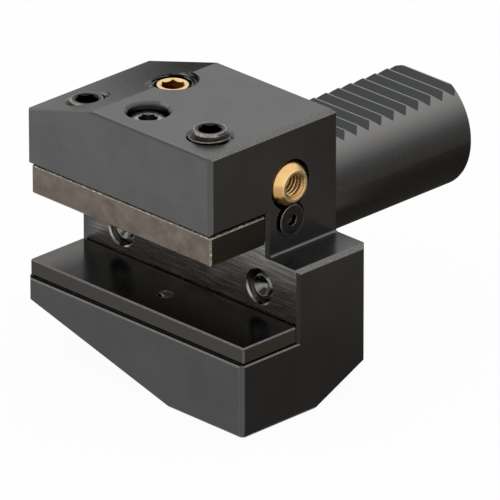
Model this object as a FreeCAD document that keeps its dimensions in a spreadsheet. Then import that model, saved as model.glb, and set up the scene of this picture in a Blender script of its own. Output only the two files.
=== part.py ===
import FreeCAD, Part
import math
import os
import Sketcher

# Radial tool holder with a 30 mm serrated cylindrical shank, in millimetres.
# X runs along the tool slot, Y along the shank (the block is on the -Y side), Z is up.
# The origin is on the shank's axis, in the plane of the flange face.

# Driving sizes: name, value, what it is
driving_sizes = [
    ("shankDiameter", 30, "cylindrical shank"),
    ("shankLength", 55, "flange face to the end of the shank"),
    ("shankChamfer", 0.9, "45 degree chamfer at the shank's end"),
    ("sealGrooveStart", 2.2, "flange face to the seal groove"),
    ("sealSection", 2.2, "thickness of the shank seal"),
    ("toothPitch", 4, "serration pitch along the shank"),
    ("toothCount", 10, "gaps between the serration's ridges"),
    ("toothTip", 11.9, "shank axis to the ridges"),
    ("toothDepth", 1.5, "height of a ridge"),
    ("toothLand", 0.35, "flat top of a ridge"),
    ("toothRise", 1.85, "run of the flank that faces the block"),
    ("blockHalfWidth", 35, "shank axis to either end of the lower block"),
    ("upperRight", 25, "shank axis to the right end of the upper block"),
    ("blockDepth", 40, "flange face to the front face"),
    ("blockTop", 28, "shank axis to the top face"),
    ("blockBottom", 38, "shank axis to the underside"),
    ("ledgeDrop", 2.3, "shank axis down to the ledge on the right"),
    ("slopeStart", 12.75, "shank axis to the crease in the top face"),
    ("slopeAngle", 16, "slope of the top face's left part, degrees"),
    ("undersideStart", 11, "shank axis to the crease in the underside"),
    ("undersideAngle", 15, "slope of the underside's left part, degrees"),
    ("rearBevelRun", 16.4, "lower rear bevel, along the shank"),
    ("rearBevelRise", 7.5, "lower rear bevel, upwards"),
    ("wallDepth", 22, "flange face to the slot's back wall"),
    ("slotFloor", 20, "shank axis down to the slot's floor"),
    ("jawCeiling", 8.45, "shank axis up to the slot's ceiling"),
    ("edgeChamfer", 1.0, "chamfer of the long outer edges"),
    ("slotChamfer", 0.7, "chamfer of the slot's side edges"),
    ("edgeBreak", 0.3, "small chamfer of the front's remaining edges"),
    ("rearEdgeBreak", 0.8, "chamfer of the flange face's upper and left edges"),
    ("ledgeFillet", 0.8, "fillet where the ledge meets the upper block"),
    ("barThickness", 7.2, "height of the clamping bar"),
    ("barTopGap", 0.1, "clamping bar to the slot's ceiling"),
    ("barWallGap", 0.45, "clamping bar to the slot's back wall"),
    ("barLeftInset", 1.6, "clamping bar's left end to the block's"),
    ("barFrontInset", 0.1, "clamping bar's front to the block's"),
    ("barChamfer", 0.4, "chamfer of the clamping bar's edges"),
    ("clampEndDistance", 9.2, "clamping bar's ends to the clamping screws"),
    ("clampThread", 10, "clamping screws, M10"),
    ("clampLeftLength", 20, "left clamping screw"),
    ("clampRightLength", 25, "right clamping screw"),
    ("clampSocket", 5, "clamping screw's hexagon socket, across flats"),
    ("clampSocketDepth", 5, "depth of that socket"),
    ("clampRim", 7.6, "flat rim of the clamping screw's top"),
    ("dogDiameter", 7, "dog point of the clamping screw"),
    ("dogLength", 5, "length of the dog point"),
    ("dogSeatDepth", 3.5, "blind seat in the bar for the dog point"),
    ("mouthWidth", 0.55, "countersink of the threaded holes in the top"),
    ("retainerThread", 5, "retaining screw, M5"),
    ("retainerLength", 20, "retaining screw under its head"),
    ("retainerHead", 8.5, "retaining screw's head diameter"),
    ("retainerHeadHeight", 5, "retaining screw's head height"),
    ("retainerHeadDrop", 1.4, "retaining screw's head below the top face"),
    ("retainerSocket", 4, "retaining screw's hexagon socket, across flats"),
    ("retainerBore", 5.5, "clearance hole for the retaining screw"),
    ("counterbore", 9.7, "counterbore for the head and the spring"),
    ("counterboreDepth", 13, "top face to the counterbore's floor"),
    ("counterboreChamfer", 0.7, "countersink of the counterbore"),
    ("springWire", 0.9, "wire of the return spring"),
    ("springMean", 7, "mean diameter of the return spring"),
    ("springTurns", 4.5, "turns of the return spring"),
    ("shimThickness", 4, "support plate under the tool"),
    ("shimEndInset", 0.2, "support plate's ends to the block's"),
    ("shimFrontInset", 0.8, "support plate's front to the block's"),
    ("shimWallGap", 0.3, "support plate to the slot's back wall"),
    ("shimChamfer", 0.35, "chamfer of the support plate's edges"),
    ("shimScrewX", 1, "shank axis to the support plate's screw"),
    ("shimThread", 4, "support plate's screw, M4"),
    ("shimScrewLength", 10, "support plate's screw under its head"),
    ("shimScrewDrop", 1, "screw's tip below the plate's top"),
    ("shimHead", 7, "support plate's screw, head diameter"),
    ("shimHeadHeight", 4, "support plate's screw, head height"),
    ("shimSocket", 3, "support plate's screw, hexagon socket"),
    ("coolantLine", 14.6, "flange face to the coolant drillings and the nozzle"),
    ("coolantBore", 5, "coolant drillings"),
    ("inletHeight", 19, "shank axis to the coolant inlet in the flange"),
    ("nozzleHeight", 13.8, "shank axis to the nozzle's centre"),
    ("nozzleBall", 12, "ball of the nozzle"),
    ("nozzleSink", 3, "ball's centre below the right face"),
    ("nozzleFace", 4.7, "ball's centre to the nozzle's flat front"),
    ("nozzleBack", 5.2, "ball's centre to the nozzle's flat back"),
    ("nozzleThread", 5, "wall of the nozzle's M6 thread"),
    ("nozzleThreadDepth", 6.5, "depth of the nozzle's thread"),
    ("nozzleJet", 3, "bore through the nozzle"),
    ("nozzleMouth", 6.4, "countersink of the nozzle's thread"),
    ("nozzleSealSection", 1.8, "thickness of the nozzle's seal"),
    ("nozzleSealMean", 9.4, "mean diameter of the nozzle's seal"),
    ("nozzleScrewDrop", 8.6, "nozzle's centre down to its retaining screw"),
    ("nozzleScrewThread", 4, "nozzle's retaining screw, M4"),
    ("nozzleScrewLength", 10, "nozzle's retaining screw, overall"),
    ("nozzleScrewHead", 7.3, "countersunk head"),
    ("nozzleScrewRim", 0.2, "cylindrical rim of the countersunk head"),
    ("nozzleScrewProud", 0.62, "head's face above the right face"),
    ("nozzleScrewSocket", 2.5, "nozzle screw's hexagon socket, across flats"),
    ("nozzleScrewRecess", 8.8, "recess around the countersunk head"),
    ("nozzleScrewRecessDepth", 0.9, "depth of that recess"),
    ("plugX", 13, "shank axis to the coolant plug, leftwards"),
    ("plugThread", 10, "coolant plug, M10 x 1"),
    ("plugLength", 6, "coolant plug"),
    ("plugDrop", 1.2, "coolant plug's face below the top face"),
    ("plugRim", 7.4, "flat rim of the coolant plug's face"),
    ("plugSpotface", 12.2, "shallow round spot face about the coolant plug"),
    ("plugSpotfaceDepth", 0.8, "floor of that spot face below the top face"),
    ("plugSocket", 5, "coolant plug's hexagon socket, across flats"),
    ("plugSocketDepth", 3.5, "depth of that socket"),
    ("stopEndDistance", 12.5, "lower block's ends to the stop screws"),
    ("stopDrop", 10, "shank axis down to the stop screws"),
    ("stopThread", 8, "stop screws, M8"),
    ("stopLength", 12, "stop screws"),
    ("stopInset", 0.8, "stop screw's cup behind the slot's wall"),
    ("stopCup", 5, "cup point of the stop screws"),
    ("stopSocket", 4, "stop screw's hexagon socket, across flats"),
    ("stopMouth", 8.8, "countersink of the stop screws' holes"),
    ("threadClearance", 0.03, "screw to hole, on the radius"),
    ("ballClearance", 0.05, "ball and seals to their seats, on the radius"),
]

document = FreeCAD.newDocument("radialToolHolder")
sheet = document.addObject("Spreadsheet::Sheet", "Sizes")
for row, (alias, value, note) in enumerate(driving_sizes, start=1):
    sheet.set(f"A{row}", note)
    sheet.set(f"B{row}", str(value))
    sheet.setAlias(f"B{row}", alias)
document.recompute()


class Size:
    """A length: its present value, and the formula that ties it to the sheet."""

    def __init__(self, value, formula):
        self.value = float(value)
        self.formula = formula

    def __add__(self, other):
        other = as_size(other)
        return Size(self.value + other.value, f"({self.formula} + {other.formula})")

    def __sub__(self, other):
        other = as_size(other)
        return Size(self.value - other.value, f"({self.formula} - {other.formula})")

    def __mul__(self, other):
        other = as_size(other)
        return Size(self.value * other.value, f"({self.formula} * {other.formula})")

    def __truediv__(self, other):
        other = as_size(other)
        return Size(self.value / other.value, f"({self.formula} / {other.formula})")

    def __neg__(self):
        return Size(-self.value, f"(-1 * {self.formula})")

    def __rsub__(self, other):
        return as_size(other) - self

    __radd__ = __add__
    __rmul__ = __mul__


def as_size(item):
    return item if isinstance(item, Size) else Size(item, f"({item})")


def square_root(size):
    return Size(math.sqrt(size.value), f"sqrt({size.formula})")


def tangent(size):
    return Size(math.tan(math.radians(size.value)), f"tan({size.formula})")


class Sizes:
    """Each driving size by its name, read from its cell."""

    def __getattr__(self, name):
        return Size(sheet.get(name), f"Sizes.{name}")


size = Sizes()
zero = as_size(0)
along_x = FreeCAD.Vector(1, 0, 0)
along_y = FreeCAD.Vector(0, 1, 0)
along_z = FreeCAD.Vector(0, 0, 1)

# Places that several pieces share
slot_middle = -(size.blockDepth + size.wallDepth) / 2
bar_left = size.barLeftInset - size.blockHalfWidth
bar_right = size.upperRight
left_clamp_x = bar_left + size.clampEndDistance
right_clamp_x = bar_right - size.clampEndDistance
retainer_x = (bar_left + bar_right) / 2
bar_top = size.jawCeiling - size.barTopGap
dog_tip = bar_top - size.dogSeatDepth
retainer_seat = size.blockTop - size.retainerHeadDrop - size.retainerHeadHeight
counterbore_floor = size.blockTop - size.counterboreDepth
shim_top = size.shimThickness - size.slotFloor
shim_screw_tip = shim_top - size.shimScrewDrop
shim_screw_seat = shim_screw_tip - size.shimScrewLength
plug_top = size.blockTop - size.plugDrop
nozzle_x = size.upperRight - size.nozzleSink
nozzle_screw_z = size.nozzleHeight - size.nozzleScrewDrop
nozzle_screw_face = size.upperRight + size.nozzleScrewProud
nozzle_screw_end = nozzle_screw_face - size.nozzleScrewLength
stop_x = size.blockHalfWidth - size.stopEndDistance
stop_tip = size.stopInset - size.wallDepth
shank_radius = size.shankDiameter / 2

# The shank's seal lies on its groove's floor, squeezed flush with the shank
seal_mean_radius = shank_radius - size.sealSection / 2
seal_groove_floor = seal_mean_radius - size.sealSection / 2 - size.ballClearance
seal_groove_end = size.sealGrooveStart + size.sealSection * 1.2

# The nozzle's seal lies in its pocket's corner and touches the back of the ball
seal_to_ball = size.nozzleBall / 2 + size.nozzleSealSection / 2 + size.ballClearance
seal_setback = square_root(seal_to_ball * seal_to_ball - size.nozzleSealMean * size.nozzleSealMean / 4)
nozzle_seal_x = nozzle_x - seal_setback
nozzle_pocket_floor = nozzle_seal_x - size.nozzleSealSection / 2


def slope_height(leftwards):
    """Height of the sloping part of the top, at a distance to the left of the shank's axis."""
    return size.blockTop - (leftwards - size.slopeStart) * tangent(size.slopeAngle)


def new_body(label):
    body = document.addObject("PartDesign::Body", label)
    body.Label = label
    return body


def sketch_on(body, name, plane, offset=zero):
    """A sketch parallel to one of the body's origin planes, moved along that plane's normal."""
    sketch = body.newObject("Sketcher::SketchObject", name)
    support = [item for item in body.Origin.OriginFeatures if item.Role == plane][0]
    sketch.AttachmentSupport = [(support, "")]
    sketch.MapMode = "FlatFace"
    sketch.setExpression("AttachmentOffset.Base.z", offset.formula)
    return sketch


def pin_point(sketch, geometry, end, across, up):
    """Hold one point of a sketch at a place that follows the sheet."""
    for kind, place in (("DistanceX", across), ("DistanceY", up)):
        constraint = Sketcher.Constraint(kind, -1, 1, geometry, end, place.value)
        index = sketch.addConstraint(constraint)
        sketch.setExpression(f"Constraints[{index}]", place.formula)


def draw_line(sketch, begin, finish, helper=False):
    ends = [FreeCAD.Vector(across.value, up.value, 0) for across, up in (begin, finish)]
    return sketch.addGeometry(Part.LineSegment(*ends), helper)


def draw_outline(sketch, corners):
    """A closed outline of straight lines through the given corners."""
    corners = [(as_size(across), as_size(up)) for across, up in corners]
    lines = []
    for index, corner in enumerate(corners):
        following = corners[(index + 1) % len(corners)]
        lines.append(draw_line(sketch, corner, following))
    for index, line in enumerate(lines):
        following = lines[(index + 1) % len(lines)]
        sketch.addConstraint(Sketcher.Constraint("Coincident", line, 2, following, 1))
    for line, corner in zip(lines, corners):
        pin_point(sketch, line, 1, *corner)


def draw_circle(sketch, across, up, diameter):
    centre = FreeCAD.Vector(across.value, up.value, 0)
    circle = Part.Circle(centre, along_z, diameter.value / 2)
    index = sketch.addGeometry(circle, False)
    pin_point(sketch, index, 3, across, up)
    width = sketch.addConstraint(Sketcher.Constraint("Diameter", index, diameter.value))
    sketch.setExpression(f"Constraints[{width}]", diameter.formula)


def finish_feature(feature, length, both_sides, reverse):
    if both_sides:
        feature.SideType = "Symmetric"
    feature.Reversed = reverse
    feature.setExpression("Length", length.formula)
    document.recompute()
    return feature


def pad(body, name, sketch, length, both_sides=False, reverse=False):
    feature = body.newObject("PartDesign::Pad", name)
    feature.Profile = sketch
    return finish_feature(feature, length, both_sides, reverse)


def pocket(body, name, sketch, length, both_sides=False, reverse=False):
    before = body.Shape.Volume
    feature = body.newObject("PartDesign::Pocket", name)
    feature.Profile = sketch
    finish_feature(feature, length, both_sides, reverse)
    check_cut(body, name, before)
    return feature


def check_cut(body, name, before):
    if body.Shape.Volume > before - 1e-6:
        raise ValueError(f"{name} cuts nothing from {body.Label}")


def turned(body, name, plane, offset, axis, profile, cut=False, sideways=False):
    """A revolved form or cut. The profile is a list of (place along the axis, radius)."""
    def place(along, radius):
        return (along, axis + radius) if sideways else (axis + radius, along)

    profile = [(as_size(along), as_size(radius)) for along, radius in profile]
    sketch = sketch_on(body, name + "Profile", plane, offset)
    draw_outline(sketch, [place(along, radius) for along, radius in profile])
    low, high = place(profile[0][0], zero), place(profile[-1][0], zero)
    centre_line = draw_line(sketch, low, high, helper=True)
    pin_point(sketch, centre_line, 1, *low)
    pin_point(sketch, centre_line, 2, *high)

    before = body.Shape.Volume if cut else 0
    feature = body.newObject("PartDesign::Groove" if cut else "PartDesign::Revolution", name)
    feature.Profile = sketch
    feature.ReferenceAxis = (sketch, ["Axis0"])
    feature.Angle = 360
    document.recompute()
    if cut:
        check_cut(body, name, before)
    return feature


def hexagon_socket(body, plane, offset, across, up, flats, depth, reverse=False):
    """A hexagon socket, cut from the plane at the offset into the piece."""
    sketch = sketch_on(body, "SocketOutline", plane, offset)
    point = flats / math.sqrt(3)
    corners = []
    for point_share, flat_share in ((1, 0), (0.5, 0.5), (-0.5, 0.5), (-1, 0), (-0.5, -0.5), (0.5, -0.5)):
        corners.append((across + point_share * point, up + flat_share * flats))
    draw_outline(sketch, corners)
    return pocket(body, "Socket", sketch, depth, reverse=reverse)


def edges_at(shape, direction, **place):
    """Names of the straight edges along a direction that lie at the given coordinates."""
    names = []
    for index, edge in enumerate(shape.Edges, start=1):
        if not isinstance(edge.Curve, Part.Line):
            continue
        if abs(edge.Curve.Direction.dot(direction)) < 0.999999:
            continue
        middle = edge.CenterOfMass
        if all(abs(getattr(middle, axis) - at.value) < 0.001 for axis, at in place.items()):
            names.append(f"Edge{index}")
    return names


def dress(body, kind, name, edges, size_name, width):
    """A chamfer or a fillet along the named edges."""
    if not edges:
        raise ValueError(f"{name} finds no edge on {body.Label}")
    base = body.Tip
    feature = body.newObject(kind, name)
    feature.Base = (base, edges)
    feature.setExpression(size_name, width.formula)
    document.recompute()
    if feature.Shape.isNull():
        raise ValueError(f"{name} fails on {body.Label}")


def chamfer(body, name, edges, width):
    dress(body, "PartDesign::Chamfer", name, edges, "Size", width)


def make_holder_body():
    """Block, jaws, shank and serration are one piece of steel."""
    body = new_body("holder_body")
    half = size.blockHalfWidth
    left_underside = (half + size.undersideStart) * tangent(size.undersideAngle) - size.blockBottom
    front = sketch_on(body, "FrontOutline", "XZ_Plane")
    draw_outline(front, [
        (-half, slope_height(half)),
        (-half, left_underside),
        (size.undersideStart, -size.blockBottom),
        (half, -size.blockBottom),
        (half, -size.ledgeDrop),
        (size.upperRight, -size.ledgeDrop),
        (size.upperRight, size.blockTop),
        (-size.slopeStart, size.blockTop),
    ])
    pad(body, "Block", front, size.blockDepth)

    slot = sketch_on(body, "SlotOutline", "YZ_Plane")
    beyond_front = -size.blockDepth - 5
    draw_outline(slot, [
        (beyond_front, -size.slotFloor),
        (-size.wallDepth, -size.slotFloor),
        (-size.wallDepth, size.jawCeiling),
        (beyond_front, size.jawCeiling),
    ])
    pocket(body, "ToolSlot", slot, 4 * half, both_sides=True)

    bevel = sketch_on(body, "RearBevelOutline", "YZ_Plane")
    draw_outline(bevel, [
        (0, size.rearBevelRise - size.blockBottom),
        (0, -size.blockBottom),
        (-size.rearBevelRun, -size.blockBottom),
    ])
    pocket(body, "RearBevel", bevel, 4 * half, both_sides=True)

    chamfer_block(body)
    add_shank(body)
    cut_serration(body)
    cut_top_holes(body)
    cut_coolant_way(body)
    cut_nozzle_seat(body)
    cut_stop_holes(body)
    cut_shim_screw_seat(body)
    return body


def chamfer_block(body):
    half, right = size.blockHalfWidth, size.upperRight
    front, wall = -size.blockDepth, -size.wallDepth
    top, ledge = size.blockTop, -size.ledgeDrop
    floor, ceiling = -size.slotFloor, size.jawCeiling

    posts = []
    for corner in (-half, right, half):
        posts += edges_at(body.Shape, along_z, x=corner, y=front)
    posts += edges_at(body.Shape, along_z, x=half, y=zero)
    rails = edges_at(body.Shape, along_y, x=right, z=top)
    rails += edges_at(body.Shape, along_y, x=half, z=ledge)
    chamfer(body, "OuterChamfers", posts + rails, size.edgeChamfer)

    slot_edges = edges_at(body.Shape, along_z, x=right, y=wall)
    slot_edges += edges_at(body.Shape, along_z, x=half, y=wall)
    slot_edges += edges_at(body.Shape, along_y, x=half, z=floor)
    slot_edges += edges_at(body.Shape, along_y, x=right, z=ceiling)
    chamfer(body, "SlotChamfers", slot_edges, size.slotChamfer)
    chamfer(body, "FloorChamfer", edges_at(body.Shape, along_x, y=front, z=floor), size.slotChamfer)

    slope = FreeCAD.Vector(1, 0, tangent(size.slopeAngle).value).normalize()
    rear_edges = edges_at(body.Shape, along_z, x=-half, y=zero)
    rear_edges += edges_at(body.Shape, slope, y=zero)
    rear_edges += edges_at(body.Shape, along_x, y=zero, z=top)
    chamfer(body, "RearEdgeBreaks", rear_edges, size.rearEdgeBreak)

    underside = FreeCAD.Vector(1, 0, -tangent(size.undersideAngle).value).normalize()
    small_edges = edges_at(body.Shape, slope, y=front)
    small_edges += edges_at(body.Shape, underside, y=front)
    for height in (top, ceiling, -size.blockBottom):
        small_edges += edges_at(body.Shape, along_x, y=front, z=height)
    chamfer(body, "FrontEdgeBreaks", small_edges, size.edgeBreak)

    ledge_root = edges_at(body.Shape, along_y, x=right, z=ledge)
    dress(body, "PartDesign::Fillet", "LedgeFillet", ledge_root, "Radius", size.ledgeFillet)


def add_shank(body):
    turned(body, "Shank", "XY_Plane", zero, zero, [
        (0, 0),
        (0, shank_radius),
        (size.sealGrooveStart, shank_radius),
        (size.sealGrooveStart, seal_groove_floor),
        (seal_groove_end, seal_groove_floor),
        (seal_groove_end, shank_radius),
        (size.shankLength - size.shankChamfer, shank_radius),
        (size.shankLength, shank_radius - size.shankChamfer),
        (size.shankLength, 0),
    ])


def cut_serration(body):
    """A flat along the top of the shank, then one tooth gap and its repeats."""
    flat = sketch_on(body, "ToothFlatOutline", "YZ_Plane")
    flat_start = size.shankLength - size.toothCount * size.toothPitch
    beyond_end = size.shankLength + 1
    above = shank_radius + 2
    draw_outline(flat, [
        (flat_start, size.toothTip),
        (beyond_end, size.toothTip),
        (beyond_end, above),
        (flat_start, above),
    ])
    pocket(body, "ToothFlat", flat, 2 * size.shankDiameter, both_sides=True)

    gap = sketch_on(body, "ToothGapOutline", "YZ_Plane")
    ridge = size.shankLength - size.toothLand
    draw_outline(gap, [
        (size.shankLength - size.toothPitch, size.toothTip),
        (ridge - size.toothRise, size.toothTip - size.toothDepth),
        (ridge, size.toothTip),
    ])
    first_gap = pocket(body, "ToothGap", gap, 2 * size.shankDiameter, both_sides=True)

    before = body.Shape.Volume
    serration = body.newObject("PartDesign::LinearPattern", "Serration")
    serration.Originals = [first_gap]
    serration.Direction = (gap, ["H_Axis"])
    serration.Reversed = True
    serration.setExpression("Length", ((size.toothCount - 1) * size.toothPitch).formula)
    serration.setExpression("Occurrences", size.toothCount.formula)
    body.Tip = serration
    document.recompute()
    check_cut(body, "Serration", before)


def cut_top_holes(body):
    """Threaded holes for the clamping screws, and the stepped hole of the retaining screw."""
    hole = size.clampThread / 2 + size.threadClearance
    in_slot = size.jawCeiling - 1
    above = size.blockTop + 5
    holes = (
        ("ClampHoleLeft", left_clamp_x, slope_height(-left_clamp_x)),
        ("ClampHoleRight", right_clamp_x, size.blockTop),
    )
    for name, across, mouth in holes:
        turned(body, name, "XZ_Plane", -slot_middle, across, [
            (in_slot, 0),
            (in_slot, hole),
            (mouth - size.mouthWidth, hole),
            (mouth, hole + size.mouthWidth),
            (above, hole + size.mouthWidth),
            (above, 0),
        ], cut=True)

    wide = size.counterbore / 2
    turned(body, "RetainerHole", "XZ_Plane", -slot_middle, retainer_x, [
        (in_slot, 0),
        (in_slot, size.retainerBore / 2),
        (counterbore_floor, size.retainerBore / 2),
        (counterbore_floor, wide),
        (size.blockTop - size.counterboreChamfer, wide),
        (size.blockTop, wide + size.counterboreChamfer),
        (above, wide + size.counterboreChamfer),
        (above, 0),
    ], cut=True)


def cut_coolant_way(body):
    """Inlet in the flange, and the drilling from the top that joins it to the cross drilling."""
    hole = size.plugThread / 2 + size.threadClearance
    plug_end = plug_top - size.plugLength
    drill_end = size.nozzleHeight - size.coolantBore
    spotface_floor = size.blockTop - size.plugSpotfaceDepth
    above = size.blockTop + 5
    turned(body, "PlugHole", "XZ_Plane", size.coolantLine, -size.plugX, [
        (drill_end, 0),
        (drill_end, size.coolantBore / 2),
        (plug_end, size.coolantBore / 2),
        (plug_end, hole),
        (spotface_floor, hole),
        (spotface_floor, size.plugSpotface / 2),
        (above, size.plugSpotface / 2),
        (above, 0),
    ], cut=True)

    inlet = sketch_on(body, "InletOutline", "XZ_Plane")
    draw_circle(inlet, -size.plugX, size.inletHeight, size.coolantBore)
    pocket(body, "CoolantInlet", inlet, size.coolantLine, reverse=True)


def cut_nozzle_seat(body):
    """The screw's seat and recess, then the ball's pocket with the cross drilling behind it."""
    thread = size.nozzleScrewThread / 2 + size.threadClearance
    head = size.nozzleScrewHead / 2 + size.threadClearance
    recess_floor = size.upperRight - size.nozzleScrewRecessDepth
    cone_at_floor = head - (nozzle_screw_face - size.nozzleScrewRim - recess_floor)
    cone_end = recess_floor - (cone_at_floor - thread)
    outside = size.upperRight + 2
    turned(body, "NozzleScrewSeat", "XY_Plane", nozzle_screw_z, -size.coolantLine, [
        (nozzle_screw_end - 1, 0),
        (nozzle_screw_end - 1, thread),
        (cone_end, thread),
        (recess_floor, cone_at_floor),
        (recess_floor, size.nozzleScrewRecess / 2),
        (outside, size.nozzleScrewRecess / 2),
        (outside, 0),
    ], cut=True, sideways=True)

    pocket_radius = size.nozzleBall / 2 + size.ballClearance
    turned(body, "NozzlePocket", "XY_Plane", size.nozzleHeight, -size.coolantLine, [
        (-size.plugX, 0),
        (-size.plugX, size.coolantBore / 2),
        (nozzle_pocket_floor, size.coolantBore / 2),
        (nozzle_pocket_floor, pocket_radius),
        (outside, pocket_radius),
        (outside, 0),
    ], cut=True, sideways=True)


def cut_stop_holes(body):
    """Threaded holes through the back wall, countersunk towards the slot."""
    hole = size.stopThread / 2 + size.threadClearance
    mouth = size.stopMouth / 2
    for name, across in (("StopHoleLeft", -stop_x), ("StopHoleRight", stop_x)):
        turned(body, name, "XY_Plane", -size.stopDrop, across, [
            (-size.wallDepth - 1, 0),
            (-size.wallDepth - 1, mouth),
            (-size.wallDepth, mouth),
            (-size.wallDepth + mouth - hole, hole),
            (1, hole),
            (1, 0),
        ], cut=True)


def cut_shim_screw_seat(body):
    wide = size.shimHead / 2 + 0.25
    narrow = size.shimThread / 2 + 0.15
    below = -size.blockBottom - 1
    turned(body, "ShimScrewSeat", "XZ_Plane", -slot_middle, size.shimScrewX, [
        (below, 0),
        (below, wide),
        (shim_screw_seat, wide),
        (shim_screw_seat, narrow),
        (1 - size.slotFloor, narrow),
        (1 - size.slotFloor, 0),
    ], cut=True)


def make_flat_bar(label, left, right, front, back, top, thickness, edge_width):
    """A plate with all its outer edges chamfered."""
    body = new_body(label)
    outline = sketch_on(body, "Outline", "XY_Plane", top)
    draw_outline(outline, [(left, front), (right, front), (right, back), (left, back)])
    pad(body, "Plate", outline, thickness, reverse=True)
    outer = [f"Edge{index}" for index in range(1, len(body.Shape.Edges) + 1)]
    chamfer(body, "EdgeChamfers", outer, edge_width)
    return body


def make_clamp_bar():
    """Flat bar under the upper jaw that presses on the tool."""
    body = make_flat_bar(
        "clamp_bar",
        left=bar_left, right=bar_right,
        front=size.barFrontInset - size.blockDepth, back=-size.wallDepth - size.barWallGap,
        top=bar_top, thickness=size.barThickness, edge_width=size.barChamfer)
    seats = sketch_on(body, "DogSeats", "XY_Plane", bar_top)
    for across in (left_clamp_x, right_clamp_x):
        draw_circle(seats, across, slot_middle, size.dogDiameter + 0.2)
    pocket(body, "DogSeatPockets", seats, size.dogSeatDepth)

    thread = sketch_on(body, "RetainerThread", "XY_Plane", bar_top)
    draw_circle(thread, retainer_x, slot_middle, size.retainerThread + 2 * size.threadClearance)
    pocket(body, "RetainerHole", thread, size.barThickness)
    return body


def make_shim_plate():
    """Support plate that raises a smaller tool, held by a screw from below."""
    body = make_flat_bar(
        "shim_plate",
        left=size.shimEndInset - size.blockHalfWidth, right=size.blockHalfWidth - size.shimEndInset,
        front=size.shimFrontInset - size.blockDepth, back=-size.wallDepth - size.shimWallGap,
        top=shim_top, thickness=size.shimThickness, edge_width=size.shimChamfer)
    thread = sketch_on(body, "Thread", "XY_Plane", shim_top)
    draw_circle(thread, size.shimScrewX, slot_middle, size.shimThread + 2 * size.threadClearance)
    pocket(body, "ThreadHole", thread, size.shimThickness)
    return body


def make_clamp_screw(label, across, length):
    """Set screw with a hexagon socket, and a dog point that stands in the bar's seat."""
    body = new_body(label)
    radius, dog = size.clampThread / 2, size.dogDiameter / 2
    top, shoulder = dog_tip + length, dog_tip + size.dogLength
    turned(body, "Screw", "XZ_Plane", -slot_middle, across, [
        (dog_tip, 0),
        (dog_tip, dog - 0.5),
        (dog_tip + 0.5, dog),
        (shoulder, dog),
        (shoulder, radius - 1),
        (shoulder + 1, radius),
        (top - (radius - size.clampRim / 2), radius),
        (top, size.clampRim / 2),
        (top, 0),
    ])
    hexagon_socket(body, "XY_Plane", top, across, slot_middle, size.clampSocket, size.clampSocketDepth)
    return body


def make_cap_screw(label, across, seat, upwards, thread, length, head, head_height, socket):
    """Socket head cap screw. The seat is the plane under its head, and upwards is 1 or -1."""
    body = new_body(label)
    radius, edge = thread / 2, 0.4
    tip, head_end = seat - upwards * length, seat + upwards * head_height
    turned(body, "Screw", "XZ_Plane", -slot_middle, across, [
        (tip, 0),
        (tip, radius - edge),
        (tip + upwards * edge, radius),
        (seat, radius),
        (seat, head / 2),
        (head_end - upwards * edge, head / 2),
        (head_end, head / 2 - edge),
        (head_end, 0),
    ])
    hexagon_socket(body, "XY_Plane", head_end, across, slot_middle, socket, head_height / 2,
                   reverse=upwards < 0)
    return body


def make_coolant_plug():
    """Threaded brass plug that closes the drilling from the top."""
    body = new_body("coolant_plug")
    radius, rim = size.plugThread / 2, size.plugRim / 2
    turned(body, "Plug", "XZ_Plane", size.coolantLine, -size.plugX, [
        (plug_top - size.plugLength, 0),
        (plug_top - size.plugLength, radius),
        (plug_top - (radius - rim), radius),
        (plug_top, rim),
        (plug_top, 0),
    ])
    hexagon_socket(body, "XY_Plane", plug_top, -size.plugX, -size.coolantLine,
                   size.plugSocket, size.plugSocketDepth)
    return body


def make_stop_screw(label, across):
    """Set screw in the back wall: cup point towards the slot, socket towards the flange."""
    body = new_body(label)
    radius, cup = size.stopThread / 2, size.stopCup / 2
    socket_end = stop_tip + size.stopLength
    cup_depth = cup * 0.6
    turned(body, "Screw", "XY_Plane", -size.stopDrop, across, [
        (stop_tip + cup_depth, 0),
        (stop_tip, cup),
        (stop_tip + (radius - cup), radius),
        (socket_end - 0.5, radius),
        (socket_end, radius - 0.5),
        (socket_end, 0),
    ])
    hexagon_socket(body, "XZ_Plane", -socket_end, across, -size.stopDrop, size.stopSocket,
                   size.stopSocket, reverse=True)
    return body


def make_nozzle_screw():
    """Countersunk screw whose head's edge keeps the ball in its pocket."""
    body = new_body("nozzle_screw")
    radius, head = size.nozzleScrewThread / 2, size.nozzleScrewHead / 2
    rim_end = nozzle_screw_face - size.nozzleScrewRim
    turned(body, "Screw", "XY_Plane", nozzle_screw_z, -size.coolantLine, [
        (nozzle_screw_end, 0),
        (nozzle_screw_end, radius - 0.4),
        (nozzle_screw_end + 0.4, radius),
        (rim_end - (head - radius), radius),
        (rim_end, head),
        (nozzle_screw_face, head),
        (nozzle_screw_face, 0),
    ], sideways=True)
    hexagon_socket(body, "YZ_Plane", nozzle_screw_face, -size.coolantLine, nozzle_screw_z,
                   size.nozzleScrewSocket, as_size(1.5))
    return body


def primitive(kind, label, place=(zero, zero, zero), **properties):
    """A Part primitive with its sizes and its place bound to the sheet."""
    item = document.addObject(kind, label)
    for name, length in properties.items():
        item.setExpression(name, as_size(length).formula)
    for axis, distance in zip("xyz", place):
        item.setExpression(f"Placement.Base.{axis}", distance.formula)
    return item


def combine(kind, label, base, tool):
    item = document.addObject(kind, label)
    item.Base = base
    item.Tool = tool
    item.Label = label
    return item


def turn(item, axis):
    """Turn a primitive whose axis is Z so that it lies along the given axis."""
    item.Placement.Rotation = FreeCAD.Rotation(along_z, axis)
    return item


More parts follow.
